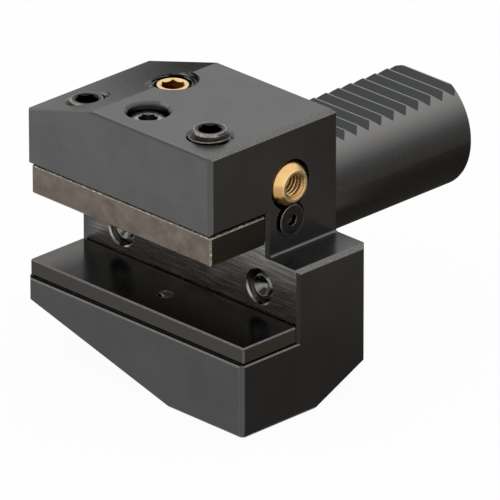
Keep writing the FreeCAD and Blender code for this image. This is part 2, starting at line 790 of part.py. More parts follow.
def make_nozzle():
    """Brass ball with flat ends, a jet bore and a threaded mouth."""
    def on_axis(kind, label, start, **properties):
        place = (nozzle_x + start, -size.coolantLine, size.nozzleHeight)
        return turn(primitive(kind, label, place, **properties), along_x)

    face, back = size.nozzleFace, -size.nozzleBack
    mouth_depth = (size.nozzleMouth - size.nozzleThread) / 2
    ball = on_axis("Part::Sphere", "NozzleBall", zero, Radius=size.nozzleBall / 2)
    trim = on_axis("Part::Cylinder", "NozzleTrim", back, Radius=size.nozzleBall, Height=face - back)
    jet = on_axis("Part::Cylinder", "NozzleJetBore", back - 1, Radius=size.nozzleJet / 2,
                  Height=face - back)
    thread = on_axis("Part::Cylinder", "NozzleThreadBore", face - size.nozzleThreadDepth,
                     Radius=size.nozzleThread / 2, Height=size.nozzleThreadDepth + 1)
    mouth = on_axis("Part::Cone", "NozzleMouth", face - mouth_depth, Radius1=size.nozzleThread / 2,
                    Radius2=size.nozzleMouth / 2, Height=mouth_depth)
    trimmed = combine("Part::Common", "NozzleBlank", ball, trim)
    drilled = combine("Part::Cut", "NozzleDrilled", trimmed, jet)
    threaded = combine("Part::Cut", "NozzleThreaded", drilled, thread)
    return combine("Part::Cut", "nozzle", threaded, mouth)


def make_seal(label, place, axis, mean_radius, section):
    ring = primitive("Part::Torus", label, place, Radius1=mean_radius, Radius2=section / 2)
    return turn(ring, axis)


def make_return_spring():
    """Compression spring with ground ends, from the counterbore's floor to the screw's head."""
    height = retainer_seat - counterbore_floor
    mean = size.springMean / 2
    helix = primitive("Part::Helix", "SpringHelix", Pitch=height / size.springTurns,
                      Height=height, Radius=mean)
    wire = primitive("Part::Circle", "SpringWire", (mean, zero, zero), Radius=size.springWire / 2)
    turn(wire, along_y)
    coil = document.addObject("Part::Sweep", "SpringCoil")
    coil.Sections = [wire]
    coil.Spine = (helix, ["Edge1"])
    coil.Solid = True
    coil.Frenet = True
    room = primitive("Part::Cylinder", "SpringRoom", Radius=size.springMean, Height=height)
    spring = combine("Part::Common", "return_spring", coil, room)
    for axis, distance in zip("xyz", (retainer_x, slot_middle, counterbore_floor)):
        spring.setExpression(f"Placement.Base.{axis}", distance.formula)
    return spring


def export(pieces):
    """Check every object, then write one file for each piece."""
    document.recompute()
    for item in document.Objects:
        if "Invalid" in item.State or "Error" in item.State:
            raise ValueError(f"{item.Label} is not valid")
    for piece in pieces:
        if piece.Shape.isNull() or not piece.Shape.isValid() or not piece.Shape.Solids:
            raise ValueError(f"{piece.Label} has no valid solid")
    os.makedirs("parts", exist_ok=True)
    for piece in pieces:
        piece.Shape.exportStep(f"parts/{piece.Label}.step")
        print(piece.Label, len(piece.Shape.Solids), round(piece.Shape.Volume, 1), "mm3")


pieces = [
    make_holder_body(),
    make_clamp_bar(),
    make_clamp_screw("clamp_screw_left", left_clamp_x, size.clampLeftLength),
    make_clamp_screw("clamp_screw_right", right_clamp_x, size.clampRightLength),
    make_cap_screw("retaining_screw", retainer_x, retainer_seat, 1, size.retainerThread,
                   size.retainerLength, size.retainerHead, size.retainerHeadHeight,
                   size.retainerSocket),
    make_return_spring(),
    make_shim_plate(),
    make_cap_screw("shim_screw", size.shimScrewX, shim_screw_seat, -1, size.shimThread,
                   size.shimScrewLength, size.shimHead, size.shimHeadHeight, size.shimSocket),
    make_coolant_plug(),
    make_nozzle(),
    make_seal("nozzle_seal", (nozzle_seal_x, -size.coolantLine, size.nozzleHeight), along_x,
              size.nozzleSealMean / 2, size.nozzleSealSection),
    make_nozzle_screw(),
    make_stop_screw("stop_screw_left", -stop_x),
    make_stop_screw("stop_screw_right", stop_x),
    make_seal("shank_seal", (zero, (size.sealGrooveStart + seal_groove_end) / 2, zero), along_y,
              seal_mean_radius, size.sealSection),
]
export(pieces)
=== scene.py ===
import math
import bpy
from mathutils import Matrix, Vector


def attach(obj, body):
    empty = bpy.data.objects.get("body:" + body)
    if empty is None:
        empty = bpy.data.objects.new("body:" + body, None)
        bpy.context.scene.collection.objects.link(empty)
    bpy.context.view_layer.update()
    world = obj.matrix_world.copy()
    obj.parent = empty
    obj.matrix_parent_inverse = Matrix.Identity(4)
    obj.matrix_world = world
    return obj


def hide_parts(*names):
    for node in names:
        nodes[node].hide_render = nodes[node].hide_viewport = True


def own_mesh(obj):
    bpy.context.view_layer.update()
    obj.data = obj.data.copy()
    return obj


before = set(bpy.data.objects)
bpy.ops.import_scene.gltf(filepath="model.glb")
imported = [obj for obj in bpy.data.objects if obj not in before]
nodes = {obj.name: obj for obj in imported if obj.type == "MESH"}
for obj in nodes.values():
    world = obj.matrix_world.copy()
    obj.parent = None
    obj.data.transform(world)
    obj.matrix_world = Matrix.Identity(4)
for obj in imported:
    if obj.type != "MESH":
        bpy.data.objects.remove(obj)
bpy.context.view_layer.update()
scene = bpy.context.scene
mm = 0.001
print("frame loaded:", len(nodes), "pieces")


def linear(hexColour):  # sRGB hex to the linear values that the nodes take
    parts = [int(hexColour[i:i + 2], 16) / 255 for i in (1, 3, 5)]
    return [c / 12.92 if c <= 0.04045 else ((c + 0.055) / 1.055) ** 2.4 for c in parts] + [1.0]


def addNode(tree, kind, settings={}, links={}):
    node = tree.nodes.new("ShaderNode" + kind)
    for name, value in settings.items():
        if isinstance(name, int) or name in node.inputs:
            node.inputs[name].default_value = value
        else:
            setattr(node, name, value)
    for name, source in links.items():
        tree.links.new(source, node.inputs[name])
    return node


def newMaterial(name):
    material = bpy.data.materials.new(name)
    material.use_nodes = True
    material.node_tree.nodes.clear()
    return material, material.node_tree


# camera, fitted to the edges of the real block
cameraLook = {"azimuth": 45.405, "elevation": 24.3154, "roll": -0.0528,
              "right": 1.9794, "up": 13.7882, "distance": 2709.0,  # mm
              "focal": 11844.8, "frame": 500,  # pixels
              "sensor": 36, "clipEnd": 50}  # mm and m


def placeCamera(look):
    a, e = math.radians(look["azimuth"]), math.radians(look["elevation"])
    back = Vector((math.sin(a) * math.cos(e), -math.cos(a) * math.cos(e), math.sin(e)))
    right = Vector((math.cos(a), math.sin(a), 0))
    up = back.cross(right)
    turn = Matrix.Rotation(math.radians(look["roll"]), 3, back)
    right, up = turn @ right, turn @ up
    spot = (back * look["distance"] - right * look["right"] - up * look["up"]) * mm
    camera = bpy.data.objects.new("camera", bpy.data.cameras.new("camera"))
    scene.collection.objects.link(camera)
    camera.matrix_world = Matrix.Translation(spot) @ Matrix((right, up, back)).transposed().to_4x4()
    camera.data.sensor_width = look["sensor"]
    camera.data.lens = look["focal"] / look["frame"] * look["sensor"]
    camera.data.clip_end = look["clipEnd"]
    scene.camera = camera


placeCamera(cameraLook)
scene.view_settings.view_transform = "Standard"

# light: a white studio tent over white paper, which shows as background and still takes the shadow
tentLook = {"light": 0.92, "floor": -38.05, "floorSize": 9000, "paper": "#F4F4F4", "glowShare": 0.95}


def backgroundRays(tree):  # 1 on camera, mirror and glass rays
    path = addNode(tree, "LightPath")
    first = addNode(tree, "Math", {"operation": "MAXIMUM"},
                    {0: path.outputs["Is Camera Ray"], 1: path.outputs["Is Glossy Ray"]})
    return addNode(tree, "Math", {"operation": "MAXIMUM"},
                   {0: first.outputs[0], 1: path.outputs["Is Transmission Ray"]}).outputs[0]


def makeTent(look):
    world = bpy.data.worlds.new("whiteTent")
    scene.world = world
    world.use_nodes = True
    tree = world.node_tree
    tree.nodes.clear()
    lit = addNode(tree, "Background", {"Color": linear("#FFFFFF"), "Strength": look["light"]})
    white = addNode(tree, "Background", {"Color": linear("#FFFFFF"), "Strength": 1.0})
    mix = addNode(tree, "MixShader", {}, {0: backgroundRays(tree), 1: lit.outputs[0], 2: white.outputs[0]})
    addNode(tree, "OutputWorld", {}, {"Surface": mix.outputs[0]})


def makeFloor(look):
    bpy.ops.mesh.primitive_plane_add(size=look["floorSize"] * mm, location=(0, 0, look["floor"] * mm))
    floor = bpy.context.object
    floor.name = "floor"
    material, tree = newMaterial("whitePaperSweep")  # matt paper: even white, soft contact shadow
    paper = addNode(tree, "BsdfDiffuse", {"Color": linear(look["paper"])})
    glow = addNode(tree, "Emission", {"Color": linear("#FFFFFF")})
    share = addNode(tree, "Math", {"operation": "MULTIPLY", 1: look["glowShare"]}, {0: backgroundRays(tree)})
    mix = addNode(tree, "MixShader", {}, {0: share.outputs[0], 1: paper.outputs[0], 2: glow.outputs[0]})
    addNode(tree, "OutputMaterial", {}, {"Surface": mix.outputs[0]})
    floor.data.materials.append(material)


def flat(left, front, right, back, height):
    return [(left, front, height), (right, front, height), (right, back, height), (left, back, height)]


# cards that only mirrors see; fade is a direction, two places along it in mm, and the colour at the second
cards = [
    # close behind on the left, low, darker to the right: the slope mirrors it
    {"name": "slopeCard", "colour": "#9E9E9D", "fade": ((0.64, 0.768, 0), -40, -15, "#464645"),
     "corners": [(-98.4, -22.7, 18), (-36.6, 49.9, 18), (-36.6, 49.9, 38), (-98.4, -22.7, 38)]},
    # on the floor behind on the right, darker near the block: the right-hand faces mirror it
    {"name": "sideCard", "colour": "#6C6761", "fade": ((0.712, 0.702, 0), 40, 120, "#8E8881"),
     "corners": flat(35.3, -40, 700, 700, -37.95)},
    # on the floor beside the shank, behind it and under it: its lower side mirrors them
    {"name": "lowCard", "colour": "#37342F", "fade": ((1, 0, 0), 46, 112, "#66635E"),
     "corners": [(35.3, 50, -37.8), (112, 82, -37.8), (112, 190, -37.8), (35.3, 170, -37.8)]},
    {"name": "farCard", "colour": "#66635E", "corners": flat(112, 105, 700, 700, -37.7)},
    {"name": "shankCard", "colour": "#3A3733", "corners": flat(-60, 1, 35.3, 120, -37.9)},
    # on the floor in front, a little darker: the lower front face and the upright corners mirror them
    {"name": "frontCard", "colour": "#D0D0D0", "corners": flat(-160, -100, 35, -40.2, -37.9)},
    {"name": "cornerCard", "colour": "#D6D6D6", "corners": flat(35.3, -700, 700, -40, -37.9)},
    # far behind on the right, grey below and white above: the shank's upper side mirrors it
    {"name": "fadeCard", "colour": "#737479", "fade": ((0, 0, 1), 80, 600, "#FFFFFF"),
     "corners": [(-46, 1054, -38), (1046, 186, -38), (1046, 186, 670), (-46, 1054, 670)]},
]


def makeCard(look):
    bpy.ops.mesh.primitive_plane_add(size=1)
    card = bpy.context.object
    card.name = look["name"]
    corners = look["corners"]
    for vertex, corner in zip(card.data.vertices, (corners[0], corners[1], corners[3], corners[2])):
        vertex.co = Vector(corner) * mm
    material, tree = newMaterial(look["name"])
    glow = addNode(tree, "Emission", {"Color": linear(look["colour"])})
    if "fade" in look:
        along, first, second, farColour = look["fade"]
        place = addNode(tree, "VectorMath", {"operation": "DOT_PRODUCT", 1: along},
                        {0: addNode(tree, "TexCoord").outputs["Object"]})
        share = addNode(tree, "MapRange", {"From Min": first * mm, "From Max": second * mm},
                        {"Value": place.outputs["Value"]})
        faded = addNode(tree, "MixRGB", {"Color1": linear(look["colour"]), "Color2": linear(farColour)},
                        {"Fac": share.outputs[0]})
        tree.links.new(faded.outputs[0], glow.inputs["Color"])
    addNode(tree, "OutputMaterial", {}, {"Surface": glow.outputs[0]})
    card.data.materials.append(material)
    for ray in ("camera", "diffuse", "shadow", "transmission", "volume_scatter"):
        setattr(card, "visible_" + ray, False)


makeTent(tentLook)
makeFloor(tentLook)
for cardLook in cards:
    makeCard(cardLook)
print("camera, tent and floor done")

# modelling: a profile is drawn point by point, then turned or screwed up
mergeGap = 0.001  # mm
smoothAngle = 28  # degrees
screwSteps = 64  # steps of one whole turn
coilSteps = 40


def pickOnly(piece):
    bpy.ops.object.select_all(action="DESELECT")
    piece.select_set(True)
    bpy.context.view_layer.objects.active = piece


def applyModifiers(piece):
    pickOnly(piece)
    for modifier in list(piece.modifiers):
        bpy.ops.object.modifier_apply(modifier=modifier.name)


def drawProfile(name, points, closed=False):  # points are (radius, height) in mm
    bpy.ops.object.select_all(action="DESELECT")
    bpy.ops.mesh.primitive_plane_add(size=mm)
    piece = bpy.context.object
    piece.name = name
    bpy.ops.object.mode_set(mode="EDIT")
    bpy.ops.mesh.select_all(action="SELECT")
    bpy.ops.mesh.merge(type="CENTER")
    bpy.ops.transform.translate(value=(points[0][0] * mm, 0, points[0][1] * mm))
    for before, after in zip(points, points[1:]):
        step = ((after[0] - before[0]) * mm, 0, (after[1] - before[1]) * mm)
        bpy.ops.mesh.extrude_region_move(TRANSFORM_OT_translate={"value": step})
    if closed:
        bpy.ops.mesh.select_all(action="SELECT")
        bpy.ops.mesh.edge_face_add()
        bpy.ops.mesh.delete(type="ONLY_FACE")
    bpy.ops.object.mode_set(mode="OBJECT")
    return piece


def turnProfile(piece, steps, pitch=0.0, turns=1):  # pitch 0 is plain turning, otherwise a right-hand helix
    screw = piece.modifiers.new("turned", "SCREW")
    screw.steps = steps
    screw.render_steps = steps
    screw.screw_offset = pitch * mm
    screw.iterations = turns
    applyModifiers(piece)
    bpy.ops.object.mode_set(mode="EDIT")
    bpy.ops.mesh.select_all(action="SELECT")
    bpy.ops.mesh.remove_doubles(threshold=mergeGap * mm)
    if pitch:  # caps on the ends of a thread form
        bpy.ops.mesh.fill_holes(sides=8)
        bpy.ops.mesh.select_all(action="SELECT")
    bpy.ops.mesh.normals_make_consistent(inside=False)
    bpy.ops.object.mode_set(mode="OBJECT")
    return piece


def carve(piece, cutter):
    boolean = piece.modifiers.new("cut", "BOOLEAN")
    boolean.operation = "DIFFERENCE"
    boolean.solver = "EXACT"
    boolean.object = cutter
    applyModifiers(piece)
    bpy.data.objects.remove(cutter)


def helicalCoil(name, narrow, wide, pitch, start, turns):  # a 60 degree thread form, from radius to radius
    crest = pitch / 12
    slack = 0.47 * pitch  # turns stay just clear of each other
    base = min(crest + abs(wide - narrow) * math.tan(math.radians(60 / 2)), slack)
    points = [(narrow, start - crest), (wide, start - base), (wide, start + base), (narrow, start + crest)]
    return turnProfile(drawProfile(name, points, closed=True), coilSteps, pitch, turns)


def cutSocket(piece, look):  # hexagon with a drilled bottom and a small countersink
    flats, top, floor = look["flats"], look["top"], look["top"] - look["depth"]
    corner = flats / math.sqrt(3)
    centre = (0, 0, top * mm)
    bpy.ops.object.select_all(action="DESELECT")
    bpy.ops.mesh.primitive_cylinder_add(vertices=6, radius=corner * mm, depth=2 * look["depth"] * mm,
                                        location=centre)
    hexagon = bpy.context.object
    bpy.ops.object.mode_set(mode="EDIT")
    bpy.ops.mesh.select_all(action="SELECT")
    bpy.ops.transform.rotate(value=math.radians(-look["turn"]), orient_axis="Z", center_override=centre)
    bpy.ops.object.mode_set(mode="OBJECT")
    carve(piece, hexagon)
    drillRadius, drillTip, overlap = 0.45 * flats, 0.3 * flats, 0.1
    drill = [(0, floor - drillTip), (drillRadius, floor - 0.01), (drillRadius, floor + overlap),
             (0, floor + overlap)]
    carve(piece, turnProfile(drawProfile("drill", drill), coilSteps))
    lip = 0.05 * corner  # the countersink is this much wider than the hexagon's corners
    mouth = [(0, top - corner), (corner + lip, top + lip), (0, top + lip)]
    carve(piece, turnProfile(drawProfile("mouth", mouth), coilSteps))


def placePiece(piece, axis, spot):  # built up +Z from its tip, then laid along its axis
    pickOnly(piece)
    turns = {"up": (0, 0, 0), "down": (180, 0, 0), "alongX": (0, 90, 0), "alongY": (-90, 0, 0)}
    piece.rotation_euler = [math.radians(angle) for angle in turns[axis]]
    piece.location = Vector(spot) * mm
    bpy.ops.object.transform_apply(location=True, rotation=True, scale=True)
    bpy.ops.object.shade_smooth_by_angle(angle=math.radians(smoothAngle))


def makeScrew(look):
    piece = turnProfile(drawProfile(look["name"], look["profile"]), screwSteps)
    thread = look["thread"]
    carve(piece, helicalCoil("groove", thread["root"], thread["outside"], thread["pitch"], thread["start"],
                             thread["turns"]))
    cutSocket(piece, look["socket"])
    placePiece(piece, look["axis"], look["spot"])
    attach(piece, look["body"])
    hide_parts(look["node"])
    return piece


# the screws, with real threads: profiles are (radius, height) from the tip, in mm
# M10 x 1.5 set screws with a dog point: the left one is flush with the slope, the right one stands proud
clampLeft = {"name": "clampScrewLeft", "node": "clamp_screw_left", "body": "left_clamp_screw", "axis": "up",
             "spot": (-24.2, -31, 4.85),
             "profile": [(0, 0), (3.0, 0), (3.5, 0.5), (3.5, 5), (4.0, 5), (5, 6), (5, 18.9), (3.9, 19.6),
                         (3.7, 20), (0, 20)],
             "thread": {"root": 4.1, "outside": 5.1, "pitch": 1.5, "start": 6.6, "turns": 10},
             "socket": {"flats": 5, "depth": 5, "top": 20, "turn": 24}}
clampRight = {"name": "clampScrewRight", "node": "clamp_screw_right", "body": "right_clamp_screw",
              "axis": "up", "spot": (15.8, -31, 4.85),
              "profile": [(0, 0), (3.0, 0), (3.5, 0.5), (3.5, 5), (4.0, 5), (5, 6), (5, 23.6), (3.9, 24.4),
                          (3.75, 25), (0, 25)],
              "thread": {"root": 4.1, "outside": 5.1, "pitch": 1.5, "start": 6.4, "turns": 14},
              "socket": {"flats": 5, "depth": 5, "top": 25, "turn": 15}}
# M5 x 0.8 cap screw in the counterbore
retainer = {"name": "retainingScrew", "node": "retaining_screw", "body": "clamp", "axis": "up",
            "spot": (-4.2, -31, 1.6),
            "profile": [(0, 0), (2.1, 0), (2.5, 0.4), (2.5, 20), (4.25, 20), (4.25, 23.9), (4.1, 24.3),
                        (3.8, 24.6), (3.6, 24.7), (0, 24.7)],
            "thread": {"root": 2.03, "outside": 2.55, "pitch": 0.8, "start": -0.4, "turns": 24},
            "socket": {"flats": 4, "depth": 2.5, "top": 24.7, "turn": 15}}
# M4 x 0.7 cap screw from below
shimScrew = {"name": "shimScrew", "node": "shim_screw", "body": "holder", "axis": "down",
             "spot": (1, -31, -17),
             "profile": [(0, 0), (1.6, 0), (2, 0.4), (2, 10), (3.5, 10), (3.5, 13.6), (3.1, 14), (0, 14)],
             "thread": {"root": 1.61, "outside": 2.05, "pitch": 0.7, "start": -0.3, "turns": 13},
             "socket": {"flats": 3, "depth": 2, "top": 14, "turn": 0}}
# M10 x 1 brass plug
plug = {"name": "coolantPlug", "node": "coolant_plug", "body": "holder", "axis": "up",
        "spot": (-13, -14.6, 20.8),
        "profile": [(0, 0), (4.6, 0), (5, 0.4), (5, 3.9), (4.4, 4.4), (3.75, 4.4), (3.75, 5.9), (3.65, 6),
                    (0, 6)],
        "thread": {"root": 4.39, "outside": 5.05, "pitch": 1.0, "start": -0.5, "turns": 5},
        "socket": {"flats": 5, "depth": 3.5, "top": 6, "turn": -15}}
# M8 x 1.25 cup point set screws in the back wall
stopLeft = {"name": "stopScrewLeft", "node": "stop_screw_left", "body": "left_stop_screw", "axis": "alongY",
            "spot": (-22.5, -21.2, -10),
            "profile": [(0, 2.0), (1.2, 1.2), (2.3, 0.15), (2.5, 0), (2.7, 0.1), (4, 1.4), (4, 11.5),
                        (3.5, 12), (0, 12)],
            "thread": {"root": 3.24, "outside": 4.05, "pitch": 1.25, "start": 0.2, "turns": 10},
            "socket": {"flats": 4, "depth": 4, "top": 12, "turn": 10}}
stopRight = dict(stopLeft, name="stopScrewRight", node="stop_screw_right", body="right_stop_screw",
                 spot=(22.5, -21.2, -10))
# M4 x 0.7 countersunk screw under the nozzle
nozzleScrew = {"name": "nozzleScrew", "node": "nozzle_screw", "body": "holder", "axis": "alongX",
               "spot": (15.62, -14.6, 5.2),
               "profile": [(0, 0), (1.6, 0), (2, 0.4), (2, 8.15), (3.6, 9.75), (3.65, 9.8), (3.65, 9.94),
                           (3.59, 10), (0, 10)],
               "thread": {"root": 1.61, "outside": 2.05, "pitch": 0.7, "start": -0.3, "turns": 10},
               "socket": {"flats": 2.5, "depth": 1.5, "top": 10, "turn": 12}}

screws = {}
for screwLook in (clampLeft, clampRight, retainer, shimScrew, plug, stopLeft, stopRight, nozzleScrew):
    screws[screwLook["name"]] = makeScrew(screwLook)
print("screws done:", len(screws))

# nozzle: a brass ball with flat ends, a countersunk M6 x 1 thread and a jet bore
nozzleLook = {"ball": 6.0, "face": 4.7, "back": -5.2, "jet": 1.5, "bore": 2.5, "boreDepth": 6.5, "mouth": 3.2,
              "centre": (22, -14.6, 13.8), "arcSteps": 24, "steps": 72,
              "thread": {"outside": 3.0, "crest": 2.4, "pitch": 1.0, "depth": 5.6, "turns": 6}}


def makeNozzle(look):
    ball, face, back, mouth = look["ball"], look["face"], look["back"], look["mouth"]
    bore, boreEnd = look["bore"], look["face"] - look["boreDepth"]
    first, last = math.asin(back / ball), math.asin(face / ball)
    steps = look["arcSteps"]
    arc = [first + (last - first) * index / steps for index in range(steps + 1)]
    outside = [(ball * math.cos(angle), ball * math.sin(angle)) for angle in arc]
    inside = [(mouth, face), (bore, face - (mouth - bore)), (bore, boreEnd), (look["jet"], boreEnd)]
    profile = [(look["jet"], back)] + outside + inside
    piece = turnProfile(drawProfile("nozzleBall", profile, closed=True), look["steps"])
    thread = look["thread"]
    carve(piece, helicalCoil("groove", thread["outside"], thread["crest"], thread["pitch"],
                             face - thread["depth"], thread["turns"]))
    placePiece(piece, "alongX", look["centre"])
    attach(piece, "nozzle")
    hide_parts("nozzle")
    return piece


nozzleBall = makeNozzle(nozzleLook)
print("nozzle done")

# thread turns that show in the holes above their screws, kept between two planes (a point and a normal)
up = (0, 0, 1)
slopeUp = (-0.2756, 0, 0.9613)
threadTurns = [
    {"name": "clampHoleThread", "narrow": 4.3, "wide": 5.08, "pitch": 1.5, "start": 18.6, "turns": 3,
     "spot": (-24.2, -31, 4.85), "low": ((0, 0, 24.98), up), "high": ((-12.75, 0, 27.62), slopeUp)},
    {"name": "plugHoleThread", "narrow": 4.42, "wide": 5.08, "pitch": 1.0, "start": 4.0, "turns": 4,
     "spot": (-13, -14.6, 20.8), "low": ((0, 0, 25.3), up), "high": ((0, 0, 27.1), up)},
    {"name": "shimHoleThread", "narrow": 1.68, "wide": 2.08, "pitch": 0.7, "start": -0.4, "turns": 4,
     "spot": (1, -31, -17), "low": ((0, 0, -16.95), up), "high": ((0, 0, -16.12), up)},
]


def trim(piece, look):  # cut off below the low plane and above the high one
    pickOnly(piece)
    for side, clears in (("low", "clear_inner"), ("high", "clear_outer")):
        spot, normal = look[side]
        bpy.ops.object.mode_set(mode="EDIT")
        bpy.ops.mesh.select_all(action="SELECT")
        bpy.ops.mesh.bisect(plane_co=Vector(spot) * mm, plane_no=normal, use_fill=True, **{clears: True})
        bpy.ops.object.mode_set(mode="OBJECT")


def makeThreadTurn(look):
    piece = helicalCoil(look["name"], look["narrow"], look["wide"], look["pitch"], look["start"],
                        look["turns"])
    placePiece(piece, "up", look["spot"])
    trim(piece, look)
    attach(piece, "holder")
    return piece


innerThreads = {look["name"]: makeThreadTurn(look) for look in threadTurns}
print("inner threads done:", len(innerThreads))

# return spring with ground ends, between the counterbore's floor and the retaining screw's head
springLook = {"mean": 3.5, "wire": 0.45, "wireSides": 12, "height": 6.6, "pitch": 1.32, "turns": 5,
              "steps": 36, "travel": 2.0, "spot": (-4.2, -31, 15),
              "low": ((0, 0, 15.0), up), "high": ((0, 0, 21.6), up)}


def makeSpring(look):
    sides, thick = look["wireSides"], look["wire"]
    angles = [2 * math.pi * index / sides for index in range(sides)]
    wire = [(look["mean"] + thick * math.cos(angle), thick * math.sin(angle)) for angle in angles]
    piece = turnProfile(drawProfile("returnSpring", wire, closed=True), look["steps"], look["pitch"],
                        look["turns"])
    placePiece(piece, "up", look["spot"])
    trim(piece, look)
    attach(piece, "holder")
    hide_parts("return_spring")
    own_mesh(piece)
    return piece


returnSpring = makeSpring(springLook)
print("spring done")


# what the finishes share
def patches(tree, where, sizeMm, detail, stretch=(1, 1, 1)):  # noise whose spots are about sizeMm across
    mapping = addNode(tree, "Mapping", {"Scale": stretch}, {"Vector": where})
    noise = addNode(tree, "TexNoise", {"Scale": 1 / (sizeMm * mm), "Detail": detail, "Roughness": 0.6},
                    {"Vector": mapping.outputs[0]})
    return noise.outputs["Fac"]


def spread(tree, source, low, high, toLow=0.0, toHigh=1.0):
    return addNode(tree, "MapRange", {"From Min": low, "From Max": high, "To Min": toLow, "To Max": toHigh},
                   {"Value": source}).outputs[0]


def spreadMm(tree, source, low, high, toLow=0.0, toHigh=1.0):  # along a coordinate, from mm to mm
    return spread(tree, source, low * mm, high * mm, toLow, toHigh)


def times(tree, first, *others):
    for other in others:
        first = addNode(tree, "Math", {"operation": "MULTIPLY"}, {0: first, 1: other}).outputs[0]
    return first


def scaled(tree, source, factor):
    return addNode(tree, "Math", {"operation": "MULTIPLY", 1: factor}, {0: source}).outputs[0]


def either(tree, first, *others):
    for other in others:
        first = addNode(tree, "Math", {"operation": "MAXIMUM"}, {0: first, 1: other}).outputs[0]
    return first


def blendOver(tree, colour, share, over):  # a colour laid over what is there, by its share
    return addNode(tree, "MixRGB", {"Color2": linear(over)}, {"Fac": share, "Color1": colour}).outputs[0]


def mottled(tree, where, sizeMm, dark, light):  # two tones in soft patches
    tone = spread(tree, patches(tree, where, sizeMm, 4), 0.32, 0.68)
    return addNode(tree, "MixRGB", {"Color1": linear(dark), "Color2": linear(light)},
                   {"Fac": tone}).outputs[0]


def facing(tree, place, direction, start=0.975, full=0.995):  # 1 on faces that look along a direction
    dot = addNode(tree, "VectorMath", {"operation": "DOT_PRODUCT", 1: direction},
                  {0: place.outputs["Normal"]})
    return spread(tree, dot.outputs["Value"], start, full)


def coordinate(tree, where, axis):
    return addNode(tree, "SeparateXYZ", {}, {0: where}).outputs[axis]


def steepness(tree, place):  # how much a face looks along each axis, either way
    steep = addNode(tree, "VectorMath", {"operation": "ABSOLUTE"}, {0: place.outputs["Normal"]})
    return addNode(tree, "SeparateXYZ", {}, {0: steep.outputs[0]}).outputs


def distance(tree, where, centre):
    return addNode(tree, "VectorMath", {"operation": "DISTANCE", 1: Vector(centre) * mm},
                   {0: where}).outputs["Value"]


def ring(tree, where, centre, inner, outer):  # 1 between two distances from a point, in mm
    away, soft = distance(tree, where, centre), 0.04
    return times(tree, spreadMm(tree, away, inner - soft, inner), spreadMm(tree, away, outer + soft, outer))


def wornEdgesAndHighlights(tree, where, look):
    # rubbed corners, partly real wear and partly a painted highlight: where the rounded normal leaves the
    # true one, broken up by noise
    bevel = addNode(tree, "Bevel", {"samples": 6, "Radius": look["edge"] * mm})
    geometry = addNode(tree, "NewGeometry")
    dot = addNode(tree, "VectorMath", {"operation": "DOT_PRODUCT"},
                  {0: bevel.outputs[0], 1: geometry.outputs["Normal"]})
    edge = spread(tree, dot.outputs["Value"], 0.985, 0.86)
    broken = spread(tree, patches(tree, where, 5 * look["edge"], 3), 0.36, 0.62, 0.25, 1.0)
    return scaled(tree, times(tree, edge, broken), look["wearAndHighlight"])


def unevenRough(tree, grain, look):
    return spread(tree, grain, 0.3, 0.7, look["rough"] - look["uneven"], look["rough"] + look["uneven"])


def metalSurface(tree, colour, rough, height, bump):  # the corners' shading is rounded by 0.15 mm
    rounded = addNode(tree, "Bevel", {"samples": 6, "Radius": 0.15 * mm})
    bumped = addNode(tree, "Bump", {"Strength": bump, "Distance": 0.01 * mm},
                     {"Height": height, "Normal": rounded.outputs[0]})
    metal = addNode(tree, "BsdfPrincipled", {"Metallic": 1.0},
                    {"Base Color": colour, "Roughness": rough, "Normal": bumped.outputs[0]})
    addNode(tree, "OutputMaterial", {}, {"Surface": metal.outputs[0]})


